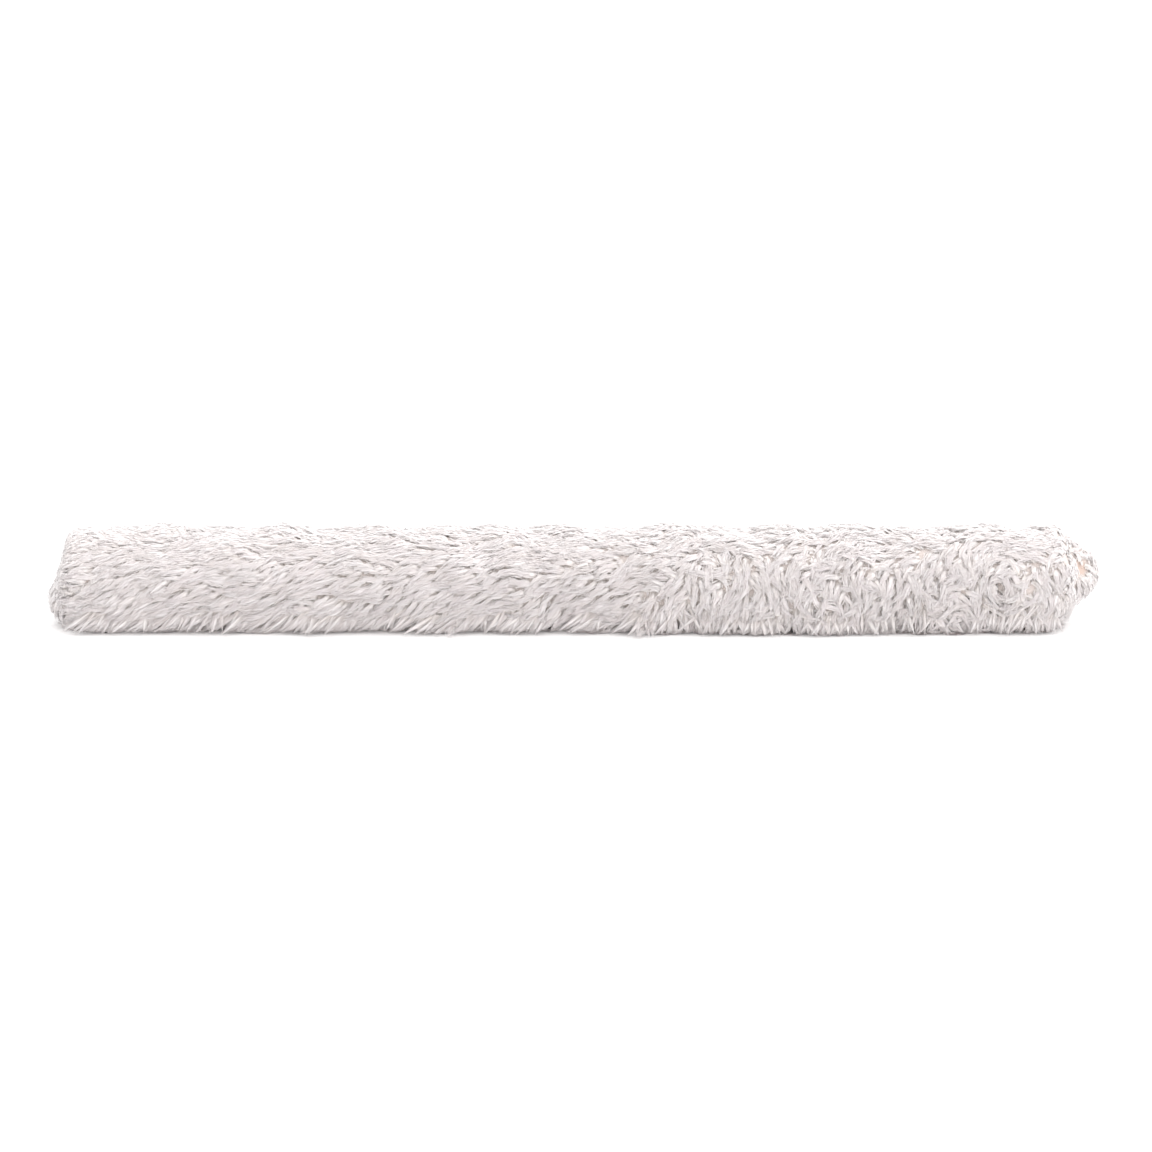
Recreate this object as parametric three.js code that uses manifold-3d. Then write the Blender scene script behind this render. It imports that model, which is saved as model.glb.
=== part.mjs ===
// A faux-fur draught excluder: one long filled roll that lies on the floor along the foot of a door.
// The pile is combed to the left over most of the roll and tousled at the right, so the solid is a lumpy
// roll with locks of pile fused to it, a bulging tuft at the left end and a gathered lobe at the right.
import * as THREE from 'three';
import { mergeVertices } from 'three/addons/utils/BufferGeometryUtils.js';
import Module from 'manifold-3d';

const wasm = await Module();
wasm.setup();

const { lerp, smoothstep, degToRad, clamp } = THREE.MathUtils;

// Driving sizes in millimetres: X runs along the roll, -Y is its front, the floor is Z = 0
const ROLL_LEFT = -440;        // the body's left face
const ROLL_RIGHT = 424;        // the body's right face
const ROLL_HEIGHT = 87;        // floor to the top of the roll, below the tips of the locks
const ROLL_DEPTH = 93;         // front to back, below the tips of the locks
const FLAT_WIDTH = 36;         // the strip that rests on the floor
const LUMP_REACH = 1.6;        // the pile's soft lumps, each way
const POOL_REACH = 13;         // how far the fluffed-out pile spreads on the floor
const POOL_MIDDLE = 170;       // where along the roll it spreads most
const POOL_LENGTH = 110;

// The ends: how deep each one rounds off, and how square its shoulder is (0 is a sharp edge)
const LEFT_END = { face: ROLL_LEFT, depth: 20, squareness: 0.42 };
const RIGHT_END = { face: ROLL_RIGHT, depth: 34, squareness: 0.6 };

// The tuft that bulges out of the left face, and the gathered lobe on the right one
const TUFT = { reach: 16, height: 28, halfHeight: 20, halfDepth: 30 };
const LOBE = { radius: 26, height: 47, lump: 1.2, pucker: 5 };

// A lock of pile: its root sits in the roll, and its tip stands off it
const LOCK = { length: 40, width: 8.7, thickness: 4.4, sink: 7, lift: 4.5, floorGap: 0.8 };
const ROWS = 26;
const LOCKS_IN_ROW = 8;
const LOWEST_LOCK = degToRad(-34);
const COMBED = { heading: degToRad(14), stray: degToRad(34) };
const TOUSLED = { heading: degToRad(72), stray: degToRad(100) };
const TOUSLED_FROM = 0;
const TOUSLED_TO = 130;

const creamFur = new THREE.MeshStandardMaterial({ color: 0xe6dedb, roughness: 0.95, metalness: 0 });

// The roll's section is an ellipse with a flat at the floor, so its axis is below half its height
const halfDepth = ROLL_DEPTH / 2;
const halfHeight = ROLL_HEIGHT / (1 + Math.sqrt(1 - (FLAT_WIDTH / ROLL_DEPTH) ** 2));
const axisHeight = ROLL_HEIGHT - halfHeight;

// A repeatable number from 0 to 1 for each lock and each use of it
function chance(index, use) {
  return THREE.MathUtils.seededRandom(index * 131 + use * 7919 + 17);
}

// 0 where the pile is combed flat, 1 where it is tousled
function tousle(x) {
  return smoothstep(x, TOUSLED_FROM, TOUSLED_TO);
}

// Soft lumps a few centimetres long, as an offset from the even roll
function lumps(x, angle) {
  const along = Math.sin(x / 11 + 1.7 * Math.sin(angle + x / 61)) + 0.8 * Math.sin(x / 7.5 + 2 * angle);
  const around = Math.sin(5 * angle + x / 13.7) + 0.7 * Math.sin(3 * angle - x / 23);
  return 0.5 * LUMP_REACH * (1 + 0.4 * tousle(x)) * (along + around);
}

// How far the pile spreads over the floor, in front and behind
function pool(x, angle) {
  const low = Math.max(0, -Math.sin(angle)) ** 1.5;
  const here = Math.exp(-(((x - POOL_MIDDLE) / POOL_LENGTH) ** 2));
  return low * lerp(-3, POOL_REACH, here);
}

// How full the section is along the roll: 1 between the ends, and less where they round off
function fillAt(x) {
  const end = x < 0 ? LEFT_END : RIGHT_END;
  const past = clamp(1 - Math.abs(end.face - x) / end.depth, 0, 0.98);
  return Math.sqrt(1 - past * past) ** end.squareness;
}

// A point of the roll's skin: angle 0 is the front, a quarter turn is the top, fill 1 is the full section
function skin(x, angle, fill, lift) {
  const reach = lumps(x, angle) * fill + lift;
  const y = -Math.cos(angle) * ((halfDepth + pool(x, angle)) * fill + reach);
  const z = axisHeight + Math.sin(angle) * (halfHeight * fill + reach);
  return new THREE.Vector3(x, y, z);
}

// Moves each vertex of a geometry to the place that a function gives for it
function reshape(geometry, place) {
  const position = geometry.attributes.position;
  const vertex = new THREE.Vector3();
  for (let i = 0; i < position.count; i += 1) {
    vertex.copy(place(vertex.fromBufferAttribute(position, i)));
    position.setXYZ(i, vertex.x, vertex.y, vertex.z);
  }
  return geometry;
}

// A closed geometry as a solid that can be joined to others
function toSolid(geometry) {
  geometry.deleteAttribute('normal');
  geometry.deleteAttribute('uv');
  const merged = mergeVertices(geometry, 1e-3);
  return new wasm.Manifold(new wasm.Mesh({
    numProp: 3,
    vertProperties: new Float32Array(merged.attributes.position.array),
    triVerts: new Uint32Array(merged.index.array),
  }));
}

// The filled body: a capsule with its ends pressed flatter, its skin lumpy and its underside flat
function filledRoll() {
  const radius = halfDepth;
  const halfStraight = (ROLL_RIGHT - ROLL_LEFT) / 2 - radius;
  const middle = (ROLL_RIGHT + ROLL_LEFT) / 2;
  const capsule = new THREE.CapsuleGeometry(radius, 2 * halfStraight, 4, 22, 46);
  capsule.rotateZ(-Math.PI / 2);
  return toSolid(reshape(capsule, (v) => {
    const side = v.x < 0 ? -1 : 1;
    const end = side < 0 ? LEFT_END : RIGHT_END;
    const past = Math.max(0, Math.abs(v.x) - halfStraight) / radius;
    const stretch = 1 + (radius - end.depth) / halfStraight;
    const x = middle + side * (Math.min(Math.abs(v.x), halfStraight) * stretch + past * end.depth);
    const fill = Math.min(1, Math.hypot(v.y, v.z) / radius) ** end.squareness;
    const p = skin(x, Math.atan2(v.z, -v.y), fill, 0);
    if (side < 0) {
      const inTuft = ((p.z - TUFT.height) / TUFT.halfHeight) ** 2 + (p.y / TUFT.halfDepth) ** 2;
      p.x -= TUFT.reach * smoothstep(past, 0.2, 1) * Math.exp(-inTuft);
    }
    p.z = Math.max(0, p.z);
    return p;
  }));
}

// The lobe of gathered pile on the right end, with a pucker high on its front
function gatheredLobe() {
  const toPucker = new THREE.Vector3(0.3, -0.9, 0.32).normalize();
  const ball = new THREE.SphereGeometry(1, 18, 12);
  return toSolid(reshape(ball, (v) => {
    const lump = LOBE.lump * Math.sin(7 * v.x + 4 * v.z) * Math.sin(6 * v.y + 1);
    const dent = LOBE.pucker * Math.max(0, v.dot(toPucker)) ** 14;
    const reach = LOBE.radius + lump - dent;
    return new THREE.Vector3(ROLL_RIGHT + v.x * LOBE.radius, v.y * reach * 1.1, LOBE.height + v.z * reach);
  }));
}

// A three-sided tapering blade along a spine of places, from its root to its tip
function blade(spine, outward, width, thickness) {
  const steps = spine.length - 1;
  const girth = [0.9, 1, 0];
  const cone = new THREE.ConeGeometry(1, steps, 3, steps);
  cone.translate(0, steps / 2, 0);
  return toSolid(reshape(cone, (v) => {
    const step = Math.round(v.y);
    const heading = spine[Math.min(step + 1, steps)].clone().sub(spine[Math.max(step - 1, 0)]);
    const across = new THREE.Vector3().crossVectors(heading, outward[step]).normalize();
    const scale = step < steps ? girth[step] / (1 - step / steps) : 0;
    const p = spine[step].clone();
    p.addScaledVector(across, v.x * scale * width);
    p.addScaledVector(outward[step], v.z * scale * thickness);
    p.z = Math.max(LOCK.floorGap, p.z);
    return p;
  }));
}

// A lock that follows the roll's skin from its root, on a heading turned from -X towards the floor
function lockOnRoll(x, angle, heading, size, lift) {
  const side = Math.cos(angle) >= 0 ? 1 : -1;
  const lifts = [-LOCK.sink, lift * 0.2, lift];
  const places = lifts.map((height, step) => {
    const travelled = (step / (lifts.length - 1)) * LOCK.length * size;
    const atX = clamp(x - Math.cos(heading) * travelled, ROLL_LEFT + 2, ROLL_RIGHT - 2);
    const atAngle = angle - (side * Math.sin(heading) * travelled) / halfHeight;
    return { spine: skin(atX, atAngle, fillAt(atX), height), angle: atAngle };
  });
  const spine = places.map((place) => place.spine);
  const outward = places.map((place) => new THREE.Vector3(0, -Math.cos(place.angle), Math.sin(place.angle)));
  return blade(spine, outward, LOCK.width * size, LOCK.thickness * size);
}

// Staggered rows of locks, each row from low in front over the top to low behind
function allLocks() {
  const first = ROLL_LEFT + 34;
  const last = ROLL_RIGHT - 10;
  const arc = Math.PI - 2 * LOWEST_LOCK;
  const locks = [];
  for (let row = 0; row < ROWS; row += 1) {
    for (let place = 0; place < LOCKS_IN_ROW; place += 1) {
      const index = row * LOCKS_IN_ROW + place;
      const stagger = row % 2 === 0 ? 0.25 : -0.25;
      const share = (place + stagger + 0.5 * (chance(index, 1) - 0.5)) / (LOCKS_IN_ROW - 1);
      const angle = LOWEST_LOCK + clamp(share, 0, 1) * arc;
      const x = lerp(first, last, (row + 0.5 * (chance(index, 2) - 0.5)) / (ROWS - 1));
      const downhill = Math.sqrt(Math.abs(Math.cos(angle)));
      const mean = lerp(COMBED.heading, TOUSLED.heading, tousle(x));
      const stray = lerp(COMBED.stray, TOUSLED.stray, tousle(x));
      const heading = downhill * mean + (chance(index, 3) - 0.5) * stray;
      const size = 0.85 + 0.3 * chance(index, 4);
      const lift = LOCK.lift * (0.6 + 0.8 * chance(index, 5));
      locks.push(lockOnRoll(x, angle, heading, size, lift));
    }
  }
  return locks;
}

// The whole thing as one solid, with the middle of its length and depth over the origin
function draughtExcluder() {
  const body = filledRoll().add(gatheredLobe());
  const whole = allLocks().reduce((joined, lock) => joined.add(lock), body);
  const mesh = whole.getMesh();
  const geometry = new THREE.BufferGeometry();
  geometry.setAttribute('position', new THREE.BufferAttribute(mesh.vertProperties, 3));
  geometry.setIndex(new THREE.BufferAttribute(mesh.triVerts, 1));
  geometry.computeBoundingBox();
  const middle = geometry.boundingBox.getCenter(new THREE.Vector3());
  geometry.translate(-middle.x, -middle.y, 0);
  geometry.computeVertexNormals();
  return geometry;
}

const group = new THREE.Group();
const furRoll = new THREE.Mesh(draughtExcluder(), creamFur);
furRoll.name = 'fur_roll';
group.add(furRoll);

export default group;
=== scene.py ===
import math

import bmesh
import bpy
import numpy as np
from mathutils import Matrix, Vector
from mathutils.bvhtree import BVHTree
from mathutils.kdtree import KDTree


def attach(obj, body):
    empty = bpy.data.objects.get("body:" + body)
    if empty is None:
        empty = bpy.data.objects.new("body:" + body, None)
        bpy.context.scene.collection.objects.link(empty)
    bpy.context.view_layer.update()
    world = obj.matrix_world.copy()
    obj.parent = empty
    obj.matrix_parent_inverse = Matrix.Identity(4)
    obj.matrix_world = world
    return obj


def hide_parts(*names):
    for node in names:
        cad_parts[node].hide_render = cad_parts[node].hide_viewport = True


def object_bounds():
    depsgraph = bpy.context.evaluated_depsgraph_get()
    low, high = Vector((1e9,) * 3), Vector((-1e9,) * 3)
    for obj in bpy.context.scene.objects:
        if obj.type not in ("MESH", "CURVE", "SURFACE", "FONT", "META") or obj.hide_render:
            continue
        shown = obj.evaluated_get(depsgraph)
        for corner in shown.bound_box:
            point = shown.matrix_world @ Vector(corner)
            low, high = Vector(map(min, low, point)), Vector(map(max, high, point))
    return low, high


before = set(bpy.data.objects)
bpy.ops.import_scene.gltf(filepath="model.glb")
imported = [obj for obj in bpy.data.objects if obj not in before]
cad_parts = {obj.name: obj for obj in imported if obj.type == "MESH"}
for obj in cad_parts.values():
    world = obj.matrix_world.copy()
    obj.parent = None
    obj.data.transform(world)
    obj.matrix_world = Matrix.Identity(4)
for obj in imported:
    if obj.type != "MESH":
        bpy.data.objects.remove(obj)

solid_box = [list(corner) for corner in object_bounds()]
scene = bpy.context.scene

# The camera looks along the roll's front from a little above it, through a long lens from over three
# metres away, so that the floor fills the frame and the roll spans it as it does in the photograph.
PHOTO_SIDE_PX = 1152
ROLL_LEFT_TIP_PX = 44
ROLL_RIGHT_TIP_PX = 1101
FLOOR_LINE_PX = 624
CAMERA_TILT = math.radians(14)
LENS_MM = 120
SENSOR_MM = 36
metres_per_px = (solid_box[1][0] - solid_box[0][0]) / (ROLL_RIGHT_TIP_PX - ROLL_LEFT_TIP_PX)
camera_distance = PHOTO_SIDE_PX * metres_per_px * LENS_MM / SENSOR_MM
aim_right = (PHOTO_SIDE_PX - ROLL_LEFT_TIP_PX - ROLL_RIGHT_TIP_PX) / 2 * metres_per_px
aim_height = (FLOOR_LINE_PX - PHOTO_SIDE_PX / 2) * metres_per_px / math.cos(CAMERA_TILT)
camera = bpy.data.objects.new("camera", bpy.data.cameras.new("camera"))
camera.data.lens = LENS_MM
camera.data.sensor_width = SENSOR_MM
camera.data.clip_end = 60
camera.location = (
    aim_right,
    -camera_distance * math.cos(CAMERA_TILT),
    aim_height + camera_distance * math.sin(CAMERA_TILT),
)
camera.rotation_euler = (math.pi / 2 - CAMERA_TILT, 0, 0)
scene.collection.objects.link(camera)
scene.camera = camera

# The floor is a plain matt sheet, near white, that runs past the view on every side. It is no part of
# the object: nothing but the roll and a faint shade under it shows on it.
FLOOR_SIDE = 24
FLOOR_WHITE = (0.78, 0.78, 0.78, 1)


class Finish:
    """A material, with its nodes made one by one."""

    def __init__(self, name):
        self.material = bpy.data.materials.new(name)
        self.material.use_nodes = True
        self.tree = self.material.node_tree
        self.tree.nodes.clear()

    def node(self, kind, settings=None, sockets=None, out=0, stops=()):
        made = self.tree.nodes.new(kind)
        for name, value in (settings or {}).items():
            setattr(made, name, value)
        for index, (place, colour) in enumerate(stops):
            elements = made.color_ramp.elements
            element = elements[index] if index < 2 else elements.new(place)
            element.position = place
            element.color = (*colour, 1)
        for name, value in (sockets or {}).items():
            if isinstance(value, Tone):
                self.tree.links.new(value.socket, made.inputs[name])
            else:
                made.inputs[name].default_value = value
        return Tone(self, made.outputs[out])

    def mix(self, share, low, high):
        return self.node("ShaderNodeMix", {"data_type": "RGBA"}, {0: share, 6: low, 7: high}, out=2)

    def cover(self, piece, sockets):
        shader = self.node("ShaderNodeBsdfPrincipled", None, sockets)
        output = self.tree.nodes.new("ShaderNodeOutputMaterial")
        self.tree.links.new(shader.socket, output.inputs["Surface"])
        piece.data.materials.append(self.material)


class Tone:
    """A socket that adds and multiplies as a number does."""

    def __init__(self, finish, socket):
        self.finish = finish
        self.socket = socket

    def maths(self, operation, first, second):
        return self.finish.node("ShaderNodeMath", {"operation": operation}, {0: first, 1: second})

    def __add__(self, other):
        return self.maths("ADD", self, other)

    def __mul__(self, other):
        return self.maths("MULTIPLY", self, other)

    __radd__ = __add__
    __rmul__ = __mul__


sheet = bmesh.new()
bmesh.ops.create_grid(sheet, x_segments=1, y_segments=1, size=FLOOR_SIDE / 2)
floor = bpy.data.objects.new("studio_floor", bpy.data.meshes.new("studio_floor"))
sheet.to_mesh(floor.data)
sheet.free()
scene.collection.objects.link(floor)
Finish("floor_white").cover(floor, {"Base Color": FLOOR_WHITE, "Roughness": 0.9})

# Soft studio light: an even white room, one broad lamp high above, a little to the right and in front,
# which brightens the roll's top and leaves its lower half in soft shade, and a faint lamp at each end.
ROOM_STRENGTH = 0.79
LAMP_STRENGTH = 4.7
LAMP_BREADTH = math.radians(120)
LAMP_FROM = Vector((0.35, -0.15, 1.0))
VIEW_GAMMA = 1.45
world = bpy.data.worlds.new("studio_room")
world.use_nodes = True
world.node_tree.nodes["Background"].inputs["Color"].default_value = (1, 1, 1, 1)
world.node_tree.nodes["Background"].inputs["Strength"].default_value = ROOM_STRENGTH
scene.world = world
lamp = bpy.data.objects.new("lamp_above", bpy.data.lights.new("lamp_above", "SUN"))
lamp.data.energy = LAMP_STRENGTH
lamp.data.angle = LAMP_BREADTH
lamp.rotation_euler = (-LAMP_FROM).to_track_quat("-Z", "Y").to_euler()
scene.collection.objects.link(lamp)
END_LAMP_SIZE = 0.3
END_LAMP_HEIGHT = 0.34
END_LAMP_FORWARD = 0.24
END_LAMP_INWARD = 0.3
END_LAMPS = (("lamp_left", -0.62, 0.2), ("lamp_right", 0.62, 0.3))
for name, x, strength in END_LAMPS:
    end_lamp = bpy.data.objects.new(name, bpy.data.lights.new(name, "AREA"))
    end_lamp.data.energy = strength
    end_lamp.data.size = END_LAMP_SIZE
    end_lamp.location = (x, -END_LAMP_FORWARD, END_LAMP_HEIGHT)
    towards_end = Vector((-END_LAMP_INWARD * x, END_LAMP_FORWARD, -END_LAMP_HEIGHT))
    end_lamp.rotation_euler = towards_end.to_track_quat("-Z", "Y").to_euler()
    scene.collection.objects.link(end_lamp)
scene.view_settings.view_transform = "Standard"
scene.view_settings.gamma = VIEW_GAMMA

# The cover is a tube of fur fabric, filled tight with fibre and closed at both ends. What is modelled
# here is its woven back and the dense short underfur, on which the long pile stands: a round roll a
# little flattened where it rests, with a bulge on its left end and a gathered lobe on its right one.
COVER_LEFT = solid_box[0][0] + 0.0225
COVER_RIGHT = solid_box[1][0] - 0.028
COVER_HALF_DEPTH = 0.0395
COVER_HALF_HEIGHT = 0.0398
COVER_AXIS = 0.0410
COVER_CLEARANCE = 0.0006
COVER_LUMP = 0.0012
COVER_SLUMP = 0.82
END_SHARE = 0.12
POOL_REACH = 0.012
POOL_DRAWN_IN = 0.002
POOL_MIDDLE = 0.17
POOL_LENGTH = 0.11
LEFT_END = {"face": COVER_LEFT, "depth": 0.008, "squareness": 0.25}
RIGHT_END = {"face": COVER_RIGHT, "depth": 0.016, "squareness": 0.36}
TUFT = {"reach": 0.0155, "height": 0.025, "half_height": 0.015, "half_depth": 0.020}
LOBE = {"middle": Vector((solid_box[1][0] - 0.0315, 0, 0.0475)), "radius": 0.0262}
PUCKER_TOWARDS = Vector((0.52, -0.80, 0.30)).normalized()
PUCKER_DEPTH = 0.009
PUCKER_SHARPNESS = 16
COVER_GRAIN = 0.0048
COVER_SMOOTHING = 4


def cover_lump(x, angle):
    along = math.sin(x / 0.011 + 1.7 * math.sin(angle + x / 0.061)) + 0.8 * math.sin(x / 0.0075 + 2 * angle)
    around = math.sin(5 * angle + x / 0.0137) + 0.7 * math.sin(3 * angle - x / 0.023)
    return COVER_LUMP * (along + around)


def cover_place(share, angle):
    ends = ((share / END_SHARE, LEFT_END, 1), ((1 - share) / END_SHARE, RIGHT_END, -1))
    fill = 1
    shoulder_left = LEFT_END["face"] + LEFT_END["depth"]
    shoulder_right = RIGHT_END["face"] - RIGHT_END["depth"]
    along = (share - END_SHARE) / (1 - 2 * END_SHARE)
    x = shoulder_left + along * (shoulder_right - shoulder_left)
    for turn, end, side in ends:
        if turn < 1:
            fill = math.sin(max(turn, 0) * math.pi / 2) ** end["squareness"]
            x = end["face"] + side * end["depth"] * (1 - math.cos(turn * math.pi / 2))
    aside, above = math.cos(angle), math.sin(angle)
    if above < 0:
        aside = math.copysign(abs(aside) ** COVER_SLUMP, aside)
        above = -abs(above) ** COVER_SLUMP
    low = max(0, -above) ** 1.5
    spread = POOL_REACH * math.exp(-(((x - POOL_MIDDLE) / POOL_LENGTH) ** 2))
    pool = low * (spread - POOL_DRAWN_IN)
    lump = cover_lump(x, angle) * fill
    y = -aside * ((COVER_HALF_DEPTH + pool) * fill + lump)
    z = COVER_AXIS + above * (COVER_HALF_HEIGHT * fill + lump)
    if share < END_SHARE:
        away = ((z - TUFT["height"]) / TUFT["half_height"]) ** 2 + (y / TUFT["half_depth"]) ** 2
        x -= TUFT["reach"] * (1 - share / END_SHARE) ** 0.5 * math.exp(-away)
    return Vector((x, y, z))


tube = bmesh.new()
bmesh.ops.create_uvsphere(tube, u_segments=48, v_segments=150, radius=1)
for vertex in tube.verts:
    share = math.acos(max(-1, min(1, -vertex.co.z))) / math.pi
    vertex.co = cover_place(share, math.atan2(vertex.co.x, vertex.co.y))
bmesh.ops.recalc_face_normals(tube, faces=tube.faces)
lobe = bmesh.ops.create_icosphere(tube, subdivisions=4, radius=1)["verts"]
for vertex in lobe:
    towards = vertex.co.normalized()
    dent = PUCKER_DEPTH * max(0, towards.dot(PUCKER_TOWARDS)) ** PUCKER_SHARPNESS
    vertex.co = LOBE["middle"] + towards * (LOBE["radius"] - dent)
cover = bpy.data.objects.new("cover", bpy.data.meshes.new("cover"))
tube.to_mesh(cover.data)
tube.free()
scene.collection.objects.link(cover)
remesh = cover.modifiers.new("one_skin", "REMESH")
remesh.mode = "VOXEL"
remesh.voxel_size = COVER_GRAIN
soften = cover.modifiers.new("soften", "SMOOTH")
soften.iterations = COVER_SMOOTHING
bpy.context.view_layer.update()
skinned = bpy.data.meshes.new_from_object(cover.evaluated_get(bpy.context.evaluated_depsgraph_get()))
cover.modifiers.clear()
cover.data = skinned
for vertex in cover.data.vertices:
    vertex.co.z = max(vertex.co.z, COVER_CLEARANCE)
for face in cover.data.polygons:
    face.use_smooth = True

OBJECT_PLACE = 3
THROUGH_FIBRE = {"Subsurface Radius": (1.0, 1.0, 1.0), "Subsurface Scale": 0.006}
underfur = Finish("underfur")
spot = underfur.node("ShaderNodeTexCoord", out=OBJECT_PLACE)
fine = underfur.node("ShaderNodeTexNoise", None, {"Vector": spot, "Scale": 900, "Detail": 2})
broad = underfur.node("ShaderNodeTexNoise", None, {"Vector": spot, "Scale": 45, "Detail": 1})
# The underfur's brown, much darker than the pile's cream, is painted shade: the cover shows only in the
# gaps between locks, and its colour stands for the shade there. Its mottle by noise is a random tone.
UNDERFUR_PAINTED_SHADE_DARK = (0.56, 0.46, 0.42, 1)
UNDERFUR_PAINTED_SHADE_PALE = (0.71, 0.61, 0.57, 1)
mottled_painted_shade = underfur.mix(fine * 0.6 + broad * 0.4, UNDERFUR_PAINTED_SHADE_DARK, UNDERFUR_PAINTED_SHADE_PALE)
# Painted shade: near the pucker's floor the underfur turns a deeper brown, which stands for the shade in
# the dimple's hollow.
PUCKER_FLOOR = LOBE["middle"] + PUCKER_TOWARDS * (LOBE["radius"] - PUCKER_DEPTH / 2)
PUCKER_PAINTED_SHADE = (0.50, 0.36, 0.30, 1)
off = underfur.node("ShaderNodeVectorMath", {"operation": "DISTANCE"}, {0: spot, 1: PUCKER_FLOOR}, out=1)
PUCKER_PAINTED_SHADE_SPREAD = {"From Min": 0.005, "From Max": 0.009, "To Min": 1, "To Max": 0}
in_pucker_painted_shade = underfur.node("ShaderNodeMapRange", None, {"Value": off, **PUCKER_PAINTED_SHADE_SPREAD})
underfur_painted_shade = underfur.mix(in_pucker_painted_shade, mottled_painted_shade, PUCKER_PAINTED_SHADE)
bump = underfur.node("ShaderNodeBump", None, {"Height": fine, "Strength": 0.8, "Distance": 0.001})
underfur.cover(cover, {
    "Base Color": underfur_painted_shade, "Roughness": 1.0, "Normal": bump, "Specular IOR Level": 0.1,
    "Subsurface Weight": 0.3, **THROUGH_FIBRE})
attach(cover, "root")
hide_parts("fur_roll")

# The pile is long soft fibre that hangs together in pointed locks. It is combed to the left over most
# of the roll, tousled and falling at the right, with a whorl near the right end and a pucker on the
# lobe, and it lies crushed on the floor. Each lock is one broad soft blade under fine loose strands.
LOCK_SPACING = 0.0050
LOCK_LENGTH = 0.020
LOCK_ROOT_RADIUS = 0.0034
STRAND_KINDS = {
    "core": {
        "in_lock": 1, "rings": (0.0, 0.28, 0.58, 0.84), "radius": 0.0024, "flatness": 0.5,
        "taper": (0.8, 1.05, 0.1), "ends": (0.88, 0.88), "loose": 0, "map_width": 0.46},
    "guard": {
        "in_lock": 4, "rings": (0.0, 0.36, 0.70), "radius": 0.00044, "flatness": 1,
        "taper": (0.9, 1.05, 0.55), "ends": (0.72, 1.06), "loose": 1, "map_width": 0.1},
    "filler": {
        "in_lock": 5, "rings": (0.0, 0.48), "radius": 0.00050, "flatness": 1,
        "taper": (0.9, 1.05, 0.55), "ends": (0.72, 1.06), "loose": 1, "map_width": 0.1},
}
DOWN_KIND = {
    "in_lock": 1, "rings": (0.0,), "radius": 0.0021, "flatness": 0.6,
    "taper": (1, 1, 1), "ends": (0.8, 1.0), "loose": 0.2, "map_width": 0.46}
DOWN_SPACING = 0.0036
DOWN_LENGTH = 0.0075
DOWN_RISE = 0.55
DOWN_LEAN = 0.7
THIRDS = (0, 1 / 3, 2 / 3, 1)
GATHER_ACROSS = (1.0, 0.95, 0.70, 0.30)
GATHER_OUT = (0.0, 0.45, 0.42, 0.12)
STRAY_TIP = 0.0015
FLICK = 0.09
OWN_ROUNDNESS = 0.22
PILE_HEIGHT = 0.0063
FLOOR_GAP = 0.0007
UNDERSIDE = 0.003
UNDERSIDE_SHARE = 0.12
COMBED_UNTIL = 0.0
TOUSLED_FROM = 0.13
CLUMP_SPACING = 0.012
CLUMP_PULL = (0, 0.05, 0.28, 0.52)
TONES = 64
PUCKER = np.array(LOBE["middle"] + PUCKER_TOWARDS * LOBE["radius"])
WHORL = np.array((0.360, -0.038, 0.042))
WHORLS = (
    {"middle": WHORL, "reach": 0.017, "swirl": 1.8, "draw": 0.3},
    {"middle": PUCKER, "reach": 0.011, "swirl": 0.3, "draw": -1.2},
)
MOAT = {"middle": WHORL, "radius": 0.0125, "width": 0.0035, "depth": 0.7}
MOAT_TOWARDS = np.array((0.8, 0, 0.6))
BARE_MOAT = 0.0016
BARE_MOAT_SHARE = 0.4
BARE_PUCKER = 0.0048
PUCKER_HOLLOW = 0.0056
PUCKER_NEAR = 0.014
PARTING_REACH = 0.0055
PARTING_DEPTH = 0.6
PARTING_PUSH = 0.45
TOP_FROM = 0.052
TOP_FULL = 0.074
THIN_ON_LOBE = (0.395, 0.425)
SHORT_AT_RIGHT = (0.385, 0.425)
SHORT_AT_LEFT = (0.405, 0.43)
CRUSHED_BELOW = 0.006
PLACES_IN_FACE = 5
PARTINGS = np.array((
    (-0.398, -0.036, 0.018), (-0.364, -0.045, 0.048), (-0.333, -0.042, 0.029), (-0.302, -0.043, 0.032),
    (-0.281, -0.038, 0.020), (-0.158, -0.043, 0.057), (-0.124, -0.043, 0.056), (-0.115, -0.043, 0.031),
    (-0.076, -0.044, 0.034), (-0.029, -0.032, 0.072), (0.065, -0.044, 0.036), (0.146, -0.040, 0.024),
    (0.216, -0.045, 0.043), (0.255, -0.030, 0.075), (0.282, -0.037, 0.065), (0.331, -0.044, 0.037),
    (0.384, -0.030, 0.072), (0.345, -0.020, 0.078), (-0.434, -0.030, 0.042), PUCKER,
))
chance = np.random.default_rng(7)
skin_tree = BVHTree.FromPolygons(
    [v.co for v in cover.data.vertices], [tuple(f.vertices) for f in cover.data.polygons])


def ramp(value, low, high):
    share = np.clip((value - low) / (high - low), 0, 1)
    return share * share * (3 - 2 * share)


def unit(vectors):
    return vectors / np.maximum(np.linalg.norm(vectors, axis=-1, keepdims=True), 1e-9)


def onto_skin(places):
    feet = np.empty_like(places)
    outward = np.empty_like(places)
    for index, place in enumerate(places):
        foot, normal, _, _ = skin_tree.find_nearest(place)
        feet[index] = foot
        outward[index] = normal
    return feet, outward


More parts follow.
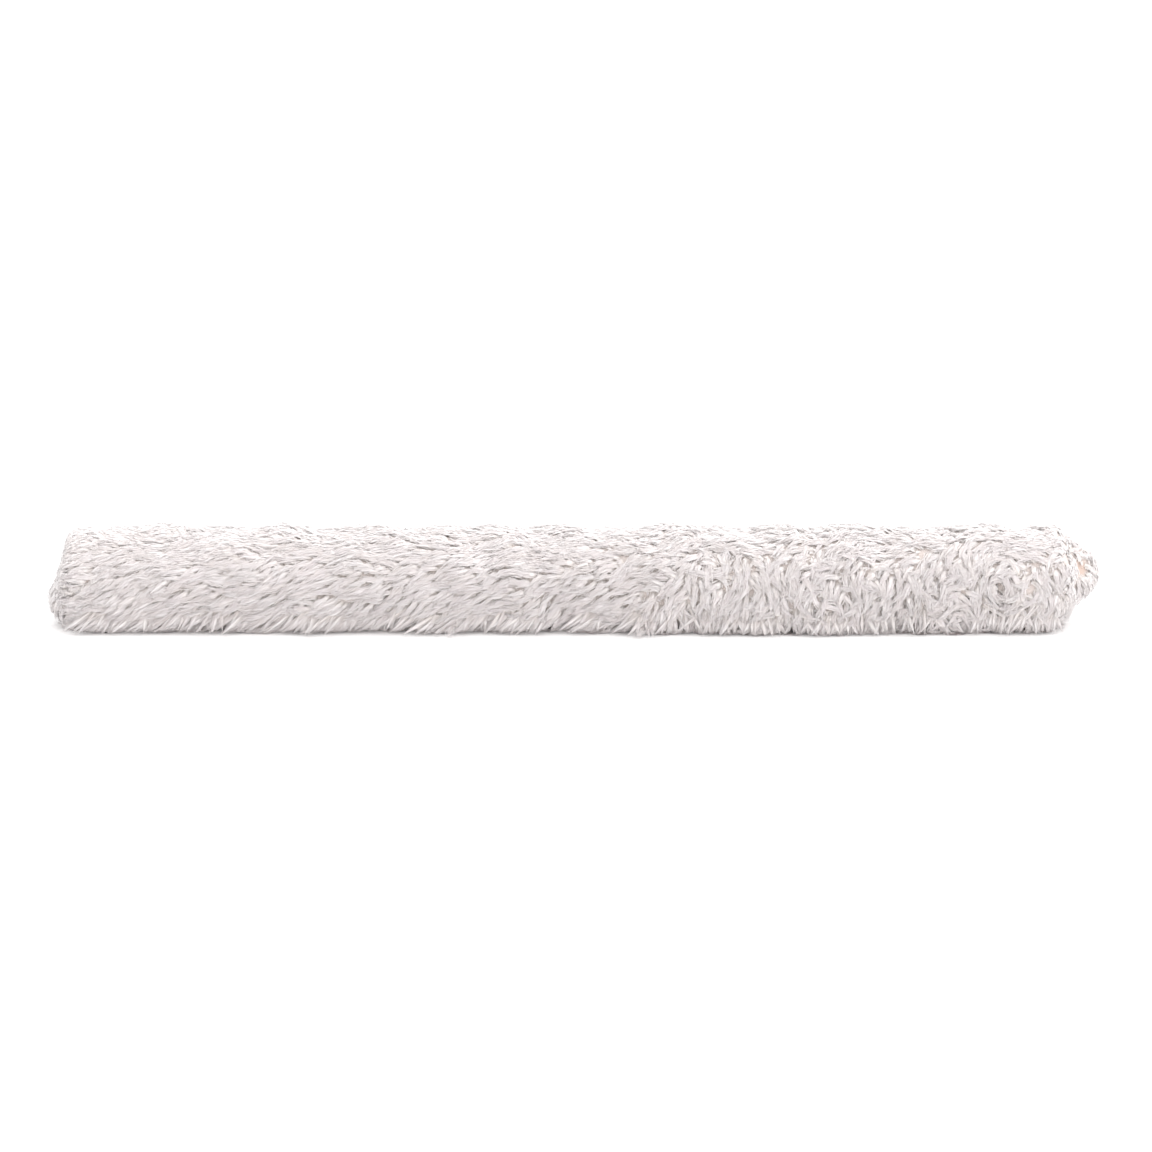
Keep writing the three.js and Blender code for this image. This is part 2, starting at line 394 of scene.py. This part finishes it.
def lay_of_pile(feet, outward, stray):
    loose = ramp(feet[:, 0], COMBED_UNTIL, TOUSLED_FROM)[:, None]
    calm = ramp(outward[:, 2], 0.25, 0.85)[:, None]
    loose = loose * (1 - 0.6 * calm)
    comb = np.array((-1.0, 0, 0)) * (1 - 0.85 * loose)
    end_face = ramp(-outward[:, 0], 0.5, 0.9)[:, None]
    fall = np.array((0, 0, -1.0)) * (0.30 + 0.45 * loose + 0.7 * end_face)
    eddy = np.stack((
        np.sin(feet[:, 0] / 0.017 + 3 * feet[:, 2] / 0.03),
        np.sin(feet[:, 0] / 0.013 + feet[:, 1] / 0.011),
        np.sin(feet[:, 0] / 0.021 - feet[:, 2] / 0.012 + 1),
    ), axis=1)
    heading = comb + fall + stray * (0.42 + 0.42 * loose) * (1 - 0.45 * calm)
    heading = heading + eddy * (0.14 + 0.18 * loose)
    for whorl in WHORLS:
        away = feet - whorl["middle"]
        near = np.exp(-((np.linalg.norm(away, axis=1) / whorl["reach"]) ** 2))[:, None]
        spin = np.cross(outward, unit(away))
        eddied = spin * whorl["swirl"] - unit(away) * whorl["draw"] + stray * 0.5
        heading = heading * (1 - near) + eddied * near
    for parting in PARTINGS:
        away = feet - parting
        near = np.exp(-((np.linalg.norm(away, axis=1) / PARTING_REACH) ** 2))[:, None]
        heading = heading + unit(away) * near * PARTING_PUSH
    heading -= outward * np.sum(heading * outward, axis=1, keepdims=True)
    return unit(heading)


def share_of_moat(feet, width):
    away = feet - MOAT["middle"]
    off = np.linalg.norm(away, axis=1) - MOAT["radius"]
    return np.exp(-((off / width) ** 2)) * ramp(unit(away) @ MOAT_TOWARDS, -0.1, 0.5)


def off_pucker(places):
    """How each place lies off the line through the pucker's middle, or far off where it is not near."""
    away = places - PUCKER
    along = away @ np.array(PUCKER_TOWARDS)
    beside = away - along[:, None] * np.array(PUCKER_TOWARDS)
    return np.where(np.abs(along)[:, None] < PUCKER_NEAR, beside, 1.0)


def height_of_pile(feet):
    x, y, z = feet.T
    waves = 0.12 * np.sin(x / 0.0065 + y / 0.009) + 0.10 * np.sin(x / 0.0112 - z / 0.008)
    height = PILE_HEIGHT * (1 + waves)
    height *= 1 + 0.15 * ramp(x, COMBED_UNTIL, TOUSLED_FROM) * ramp(-x, -0.40, -0.33)
    height *= 1 - 0.45 * ramp(x, *THIN_ON_LOBE)
    height *= 1 - 0.5 * ramp(z, TOP_FROM, TOP_FULL)
    height *= 1 - MOAT["depth"] * share_of_moat(feet, MOAT["width"])
    for parting in PARTINGS:
        away = np.linalg.norm(feet - parting, axis=1)
        height *= 1 - PARTING_DEPTH * np.exp(-((away / PARTING_REACH) ** 2))
    return height


def spread_out(places, spacing):
    """Takes the places in turn, keeps those no nearer to a kept one than the spacing, and numbers them."""
    kept = []
    taken = {}
    for index, place in enumerate(places):
        i, j, k = (place // spacing).astype(int)
        around = [other for a in (i - 1, i, i + 1) for b in (j - 1, j, j + 1) for c in (k - 1, k, k + 1)
                  for other in taken.get((a, b, c), ())]
        if all(np.sum((place - other) ** 2) > spacing ** 2 for other in around):
            taken.setdefault((i, j, k), []).append(place)
            kept.append(index)
    return kept


# Lock roots are spread evenly over the cover, and only a few of them are on its underside
centres = np.array([face.center for face in cover.data.polygons])
candidates = np.repeat(centres, PLACES_IN_FACE, axis=0)
candidates += chance.uniform(-0.5, 0.5, candidates.shape) * COVER_GRAIN
few_below = chance.random(len(candidates)) < UNDERSIDE_SHARE
candidates = candidates[(candidates[:, 2] > UNDERSIDE) | few_below]
bare = share_of_moat(candidates, BARE_MOAT) > BARE_MOAT_SHARE
bare |= np.linalg.norm(off_pucker(candidates), axis=1) < BARE_PUCKER
candidates = chance.permutation(candidates[~bare])
roots = candidates[spread_out(candidates, LOCK_SPACING)]
roots = roots[np.argsort(roots[:, 0])]
lock_count = len(roots)

# Between the locks stands a short thick down. Its tufts are scattered at random over the cover:
# DOWN_SPACING sets how many there are, and does not keep them that far apart.
down_feet, down_outward = onto_skin(candidates[spread_out(chance.permutation(candidates), DOWN_SPACING)])
down_lean = lay_of_pile(down_feet, down_outward, unit(chance.normal(size=down_feet.shape)))
down_reach = down_outward * DOWN_RISE + down_lean * DOWN_LEAN
down_steps = np.array(THIRDS)[:, None]
down = {
    "spine": down_feet[:, None] + down_reach[:, None] * down_steps * DOWN_LENGTH,
    "outward": np.repeat(down_outward[:, None], len(THIRDS), axis=1),
    "heading": np.repeat(down_lean[:, None], len(THIRDS), axis=1),
}

# Each lock's spine climbs out of the cover and then follows it along the lay. A step holds the share of
# the lock's length that it travels, how much of the pile's height it reaches, and how far it flicks.
SPINE_STEPS = ((0.22, 0.72, 0), (0.38, 1.0, 0.67), (0.40, 0.92, 1.0))
size = chance.uniform(0.75, 1.25, lock_count)
stray = unit(chance.normal(size=(lock_count, 3)))
feet, outward = onto_skin(roots)
short = 1 - 0.3 * ramp(feet[:, 0], *SHORT_AT_RIGHT) - 0.25 * ramp(-feet[:, 0], *SHORT_AT_LEFT)
length = (LOCK_LENGTH * size * short)[:, None]
height = (height_of_pile(feet) * (0.85 + 0.15 * size))[:, None]
flick = chance.normal(0, FLICK, (lock_count, 1))
knots = [feet]
headings = [lay_of_pile(feet, outward, stray)]
outwards = [outward]
for travel, climb, flicked in SPINE_STEPS:
    feet, outward = onto_skin(feet + headings[-1] * length * travel)
    lifted = feet + outward * height * (climb + flick * flicked)
    beside = off_pucker(lifted)
    lifted += unit(beside) * np.maximum(0, PUCKER_HOLLOW - np.linalg.norm(beside, axis=1, keepdims=True))
    sunk = np.maximum(0, CRUSHED_BELOW - lifted[:, 2])
    splay = 0.5 + 0.7 * ramp(feet[:, 0], COMBED_UNTIL, TOUSLED_FROM)
    lifted[:, 1] += np.sign(lifted[:, 1]) * sunk * splay * size
    knots.append(lifted)
    headings.append(lay_of_pile(feet, outward, stray))
    outwards.append(outward)
spine = np.stack(knots, axis=1)
order = chance.permutation(lock_count)
clump_centres = order[spread_out(roots[order], CLUMP_SPACING)]
clump_tree = KDTree(len(clump_centres))
for index in clump_centres:
    clump_tree.insert(roots[index], index)
clump_tree.balance()
clump = np.array([clump_tree.find(place)[1] for place in roots])
gathered = 1 - 0.7 * ramp(roots[:, 0], COMBED_UNTIL, TOUSLED_FROM)
gathered *= 1 - 0.6 * ramp(roots[:, 2], TOP_FROM, TOP_FULL)
spine += (spine[clump] - spine) * np.array(CLUMP_PULL)[:, None] * gathered[:, None, None]
locks = {
    "spine": spine,
    "outward": np.stack(outwards, axis=1),
    "heading": np.stack(headings, axis=1),
}


def strand_corners(locks, lock, kind):
    """Corners of one strand for each entry of lock, three to a ring and then the tip, and their normals."""
    count = len(lock)
    steps = np.array(kind["rings"] + (1.0,))
    at = steps * chance.uniform(*kind["ends"], (count, 1))
    weights = np.ones((count, len(steps), len(THIRDS)))
    for mine, knot in enumerate(THIRDS):
        for other in THIRDS[:mine] + THIRDS[mine + 1:]:
            weights[:, :, mine] *= (at - other) / (knot - other)
    points = np.einsum("nkm,nmc->nkc", weights, locks["spine"][lock])
    outer = np.einsum("nkm,nmc->nkc", weights, locks["outward"][lock])
    ahead = np.einsum("nkm,nmc->nkc", weights, locks["heading"][lock])
    side_on = unit(np.cross(outer, ahead))
    turn = chance.uniform(-0.35, math.pi + 0.35, count)
    spread = np.sqrt(chance.uniform(0, 1, count)) * LOCK_ROOT_RADIUS * kind["loose"]
    sideways = (np.cos(turn) * spread)[:, None] * np.interp(steps, (0, 0.35, 0.7, 1), GATHER_ACROSS)
    upwards = (np.sin(turn) * spread)[:, None] * np.interp(steps, (0, 0.35, 0.7, 1), GATHER_OUT)
    forward = (np.sin(turn) * spread)[:, None] * np.interp(steps, (0, 0.35, 0.7), (1, 0.4, 0))
    points += side_on * sideways[:, :, None] + outer * upwards[:, :, None]
    points += ahead[:, :1] * forward[:, :, None]
    points += chance.normal(0, 1, points.shape) * (STRAY_TIP * kind["loose"] * steps ** 1.3)[:, None]
    taper = np.interp(kind["rings"], (0, 0.4, 1), kind["taper"])
    girth = kind["radius"] * chance.uniform(0.75, 1.25, (count, 1)) * taper
    roll = math.pi / 2 + chance.uniform(0, 2 * math.pi, count) * kind["loose"]
    corners = np.empty((count, len(kind["rings"]), 3, 3))
    normals = np.empty_like(corners)
    for side in range(3):
        bearing = (roll + side * 2 * math.pi / 3)[:, None, None]
        offset = side_on[:, :-1] * np.cos(bearing) + outer[:, :-1] * np.sin(bearing) * kind["flatness"]
        corners[:, :, side] = points[:, :-1] + offset * girth[:, :, None]
        normals[:, :, side] = outer[:, :-1] + offset * OWN_ROUNDNESS
    corners = np.concatenate((corners.reshape(count, -1, 3), points[:, -1:]), axis=1)
    normals = np.concatenate((normals.reshape(count, -1, 3), outer[:, -1:]), axis=1)
    lowest = FLOOR_GAP * chance.uniform(0.6, 1.4, corners.shape[:2])
    corners[:, :, 2] = np.maximum(corners[:, :, 2], lowest)
    return corners, unit(normals)


def strand_faces(rings):
    """A strand's faces, and each face corner's place on the lock map: across, and from root to tip."""
    count = len(rings)
    tip = 3 * count
    faces = [((0, -1, 0.0), (2, 1, 0.0), (1, 0, 0.02))]
    for side in range(3):
        after = (side + 1) % 3
        here = side - 1
        there = after - 1
        for ring in range(count - 1):
            low, high = rings[ring], rings[ring + 1]
            faces.append((
                (3 * ring + side, here, low), (3 * ring + after, there, low),
                (3 * ring + 3 + after, there, high), (3 * ring + 3 + side, here, high)))
        last = tip - 3
        faces.append(((last + side, here, rings[-1]), (last + after, there, rings[-1]), (tip, 0, 1.0)))
    return faces


def pile_piece(name, locks, members, kinds):
    """One closed mesh of all the strands of some locks, with every strand laid out on the lock map."""
    tone = (chance.integers(0, TONES, len(members)) + 0.5) / TONES
    corners, normals, loops, starts, uvs = [], [], [], [], []
    corner_total = 0
    loop_total = 0
    for kind in kinds:
        lock = np.repeat(np.arange(len(members)), kind["in_lock"])
        made, facing = strand_corners(locks, members[lock], kind)
        faces = strand_faces(kind["rings"])
        flat = np.array([corner for face in faces for corner in face])
        sizes = np.array([len(face) for face in faces])
        first = np.arange(len(lock))[:, None]
        shift = chance.uniform(-0.34, 0.34, (len(lock), 1)) * kind["loose"]
        across_map = tone[lock][:, None] + (shift + flat[:, 1] * kind["map_width"]) / TONES
        along_map = np.broadcast_to(flat[:, 2], across_map.shape)
        corners.append(made.reshape(-1, 3))
        normals.append(facing.reshape(-1, 3))
        loops.append((corner_total + first * made.shape[1] + flat[:, 0].astype(int)).ravel())
        starts.append((loop_total + first * len(flat) + np.cumsum(sizes) - sizes).ravel())
        uvs.append(np.stack((across_map, along_map), axis=2).reshape(-1, 2))
        corner_total += made.shape[0] * made.shape[1]
        loop_total += len(lock) * len(flat)
    starts = np.concatenate(starts)
    mesh = bpy.data.meshes.new(name)
    mesh.vertices.add(corner_total)
    mesh.vertices.foreach_set("co", np.concatenate(corners).ravel())
    mesh.loops.add(loop_total)
    mesh.loops.foreach_set("vertex_index", np.concatenate(loops))
    mesh.polygons.add(len(starts))
    mesh.polygons.foreach_set("loop_start", starts)
    mesh.polygons.foreach_set("use_smooth", np.ones(len(starts), dtype=bool))
    mesh.uv_layers.new(name="OFBake").data.foreach_set("uv", np.concatenate(uvs).ravel())
    mesh.update(calc_edges=True)
    mesh.validate()
    mesh.normals_split_custom_set_from_vertices(np.concatenate(normals))
    pile = bpy.data.objects.new(name, mesh)
    scene.collection.objects.link(pile)
    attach(pile, "root")
    return pile


pile_fur = Finish("pile_fur")
lock_map = pile_fur.node("ShaderNodeUVMap", {"uv_map": "OFBake"})
split = pile_fur.node("ShaderNodeSeparateXYZ", None, {"Vector": lock_map})
from_root = pile_fur.node("ShaderNodeSeparateXYZ", None, {"Vector": lock_map}, out=1)
CREAMS = (
    (0.00, (0.95, 0.83, 0.80)),
    (0.22, (0.93, 0.80, 0.78)),
    (0.45, (0.97, 0.87, 0.85)),
    (0.68, (0.94, 0.81, 0.81)),
    (0.90, (0.98, 0.88, 0.87)),
)
cream = pile_fur.node("ShaderNodeValToRGB", None, {"Fac": split}, stops=CREAMS)
streak_place = pile_fur.node("ShaderNodeMapping", None, {"Vector": lock_map, "Scale": (620, 3.5, 1)})
streak = pile_fur.node("ShaderNodeTexNoise", None, {"Vector": streak_place, "Scale": 1, "Detail": 2})
# Painted shade: each strand is darker and browner towards its root, up to half its length, to stand for the
# shade deep in the pile between the locks.
ROOT_TO_TIP = ((0.0, (0, 0, 0)), (0.22, (0.35, 0.35, 0.35)), (0.5, (1, 1, 1)))
painted_root_shade_fade = pile_fur.node("ShaderNodeValToRGB", None, {"Fac": from_root}, stops=ROOT_TO_TIP)
ROOT_PAINTED_SHADE = (0.88, 0.75, 0.68, 1)
STREAK_SHADE = (0.88, 0.76, 0.73, 1)
streaked = pile_fur.mix(streak * 0.25, cream, STREAK_SHADE)
fur_colour = pile_fur.mix(painted_root_shade_fade, ROOT_PAINTED_SHADE, streaked)
strand_bump = pile_fur.node("ShaderNodeBump", None, {"Height": streak, "Strength": 0.2, "Distance": 0.0006})

PILE_PIECES = 5
for number, members in enumerate(np.array_split(np.arange(lock_count), PILE_PIECES)):
    pile = pile_piece("pile_%d" % (number + 1), locks, members, STRAND_KINDS.values())
    if number == 0:
        pile_fur.cover(pile, {
            "Base Color": fur_colour, "Roughness": 0.9, "Normal": strand_bump, "Specular IOR Level": 0.2,
            "Subsurface Weight": 0.6, **THROUGH_FIBRE})
    else:
        pile.data.materials.append(pile_fur.material)
under_pile = pile_piece("down", down, np.arange(len(down_feet)), (DOWN_KIND,))
under_pile.data.materials.append(pile_fur.material)

# Here and there thin wisps have worked loose from the pile and lie over it or on the floor, and all
# along the roll a fringe of short locks hangs out from under it, in front and behind. Both are the same
# fibre as the pile, with their roots among its locks.
WISPS = (
    {"from": (-0.100, -0.036, 0.008), "to": (-0.106, -0.053, 0.001), "bow": 0.001, "locks": 5},
    {"from": (-0.108, -0.036, 0.008), "to": (-0.120, -0.048, 0.001), "bow": 0.001, "locks": 4},
    {"from": (0.060, -0.037, 0.008), "to": (0.054, -0.057, 0.001), "bow": 0.001, "locks": 7},
    {"from": (0.063, -0.037, 0.008), "to": (0.067, -0.054, 0.001), "bow": 0.001, "locks": 4},
    {"from": (0.348, -0.045, 0.030), "to": (0.376, -0.051, 0.011), "bow": 0.004, "locks": 1},
    {"from": (0.392, -0.046, 0.028), "to": (0.368, -0.051, 0.010), "bow": 0.004, "locks": 1},
    {"from": (0.386, -0.045, 0.022), "to": (0.395, -0.051, 0.007), "bow": 0.003, "locks": 1},
)
WISP_ROOT_STRAY = 0.0016
WISP_TIP_STRAY = 0.0034
FRINGE_LEFT = -0.411
FRINGE_RIGHT = 0.415
FRINGE_LOCKS = 560
FRINGE_TOP = 0.011
FRINGE_REACH = (-0.004, 0.002)
FRINGE_LONG = 0.008
FRINGE_POOL = 0.006
FRINGE_BESIDE = 0.060
FRINGE_OUT = (0.0005, 0.0032)
FRINGE_BOW = 0.0018
FRINGE_TOP_STRAY = 0.002
FRINGE_TIP_HEIGHT = 0.0011
FRINGE_LONG_SHARE = 0.1
FRINGE_LEAN = 1.6
FRINGE_LEAN_STRAY = 0.7
FRINGE_LEAN_LOST = 1.4
FRINGE_KIND = {
    "in_lock": 1, "rings": (0.0, 0.5), "radius": 0.0017, "flatness": 0.5,
    "taper": (0.8, 1.0, 0.5), "ends": (0.85, 1.0), "loose": 0.1, "map_width": 0.46}
WISP_KIND = {
    "in_lock": 4, "rings": (0.0, 0.33, 0.66), "radius": 0.00018, "flatness": 1,
    "taper": (0.9, 1.05, 0.55), "ends": (0.8, 1.06), "loose": 0.6, "map_width": 0.1}
FRINGE_STRAND_KIND = {
    "in_lock": 2, "rings": (0.0, 0.33, 0.66), "radius": 0.00026, "flatness": 1,
    "taper": (0.9, 1.05, 0.55), "ends": (0.8, 1.1), "loose": 0.7, "map_width": 0.1}


def bowed_locks(rows):
    """Locks from rows of first place, last place, bow and outward direction."""
    thirds = np.array(THIRDS)[:, None]
    first, last, bow, outward = (np.array(column) for column in zip(*rows))
    outward = unit(outward)[:, None]
    rise = bow[:, None, None] * 4 * thirds * (1 - thirds)
    return {
        "spine": first[:, None] + (last - first)[:, None] * thirds + outward * rise,
        "outward": np.repeat(outward, len(THIRDS), axis=1),
        "heading": np.repeat(unit(last - first)[:, None], len(THIRDS), axis=1),
    }


wisp_rows = []
for wisp in WISPS:
    for _ in range(wisp["locks"]):
        first = np.array(wisp["from"]) + chance.normal(0, WISP_ROOT_STRAY, 3)
        last = np.array(wisp["to"]) + chance.normal(0, WISP_TIP_STRAY, 3) * (1, 1, 0.2)
        wisp_rows.append((first, last, wisp["bow"], (0, -0.95, 0.3)))
fringe_rows = []
for side in (-1, 1):
    places = chance.uniform(FRINGE_LEFT, FRINGE_RIGHT, FRINGE_LOCKS)
    tops = FRINGE_TOP + chance.normal(0, FRINGE_TOP_STRAY, FRINGE_LOCKS)
    beside = np.full(FRINGE_LOCKS, side * FRINGE_BESIDE)
    feet, outward = onto_skin(np.stack((places, beside, tops), axis=1))
    reach = chance.uniform(*FRINGE_REACH, FRINGE_LOCKS)
    reach += FRINGE_POOL * np.exp(-(((places - POOL_MIDDLE) / POOL_LENGTH) ** 2))
    reach += FRINGE_LONG * (chance.random(FRINGE_LOCKS) < FRINGE_LONG_SHARE)
    upright = FRINGE_LEAN_LOST * ramp(places, COMBED_UNTIL, TOUSLED_FROM)
    lean = chance.normal(0, FRINGE_LEAN_STRAY, FRINGE_LOCKS) - FRINGE_LEAN + upright
    for foot, out, far, aside in zip(feet, outward, reach, lean):
        first = foot + out * chance.uniform(*FRINGE_OUT)
        last = np.array((foot[0] + FRINGE_TOP * aside, foot[1] + side * far, FRINGE_TIP_HEIGHT))
        fringe_rows.append((first, last, FRINGE_BOW, (0, side * 1.0, -0.25)))
wisps = bowed_locks(wisp_rows)
fringe = bowed_locks(fringe_rows)
wisp_piece = pile_piece("wisps", wisps, np.arange(len(wisp_rows)), (WISP_KIND,))
wisp_piece.data.materials.append(pile_fur.material)
fringe_kinds = (FRINGE_KIND, FRINGE_STRAND_KIND)
fringe_piece = pile_piece("fringe", fringe, np.arange(len(fringe_rows)), fringe_kinds)
fringe_piece.data.materials.append(pile_fur.material)
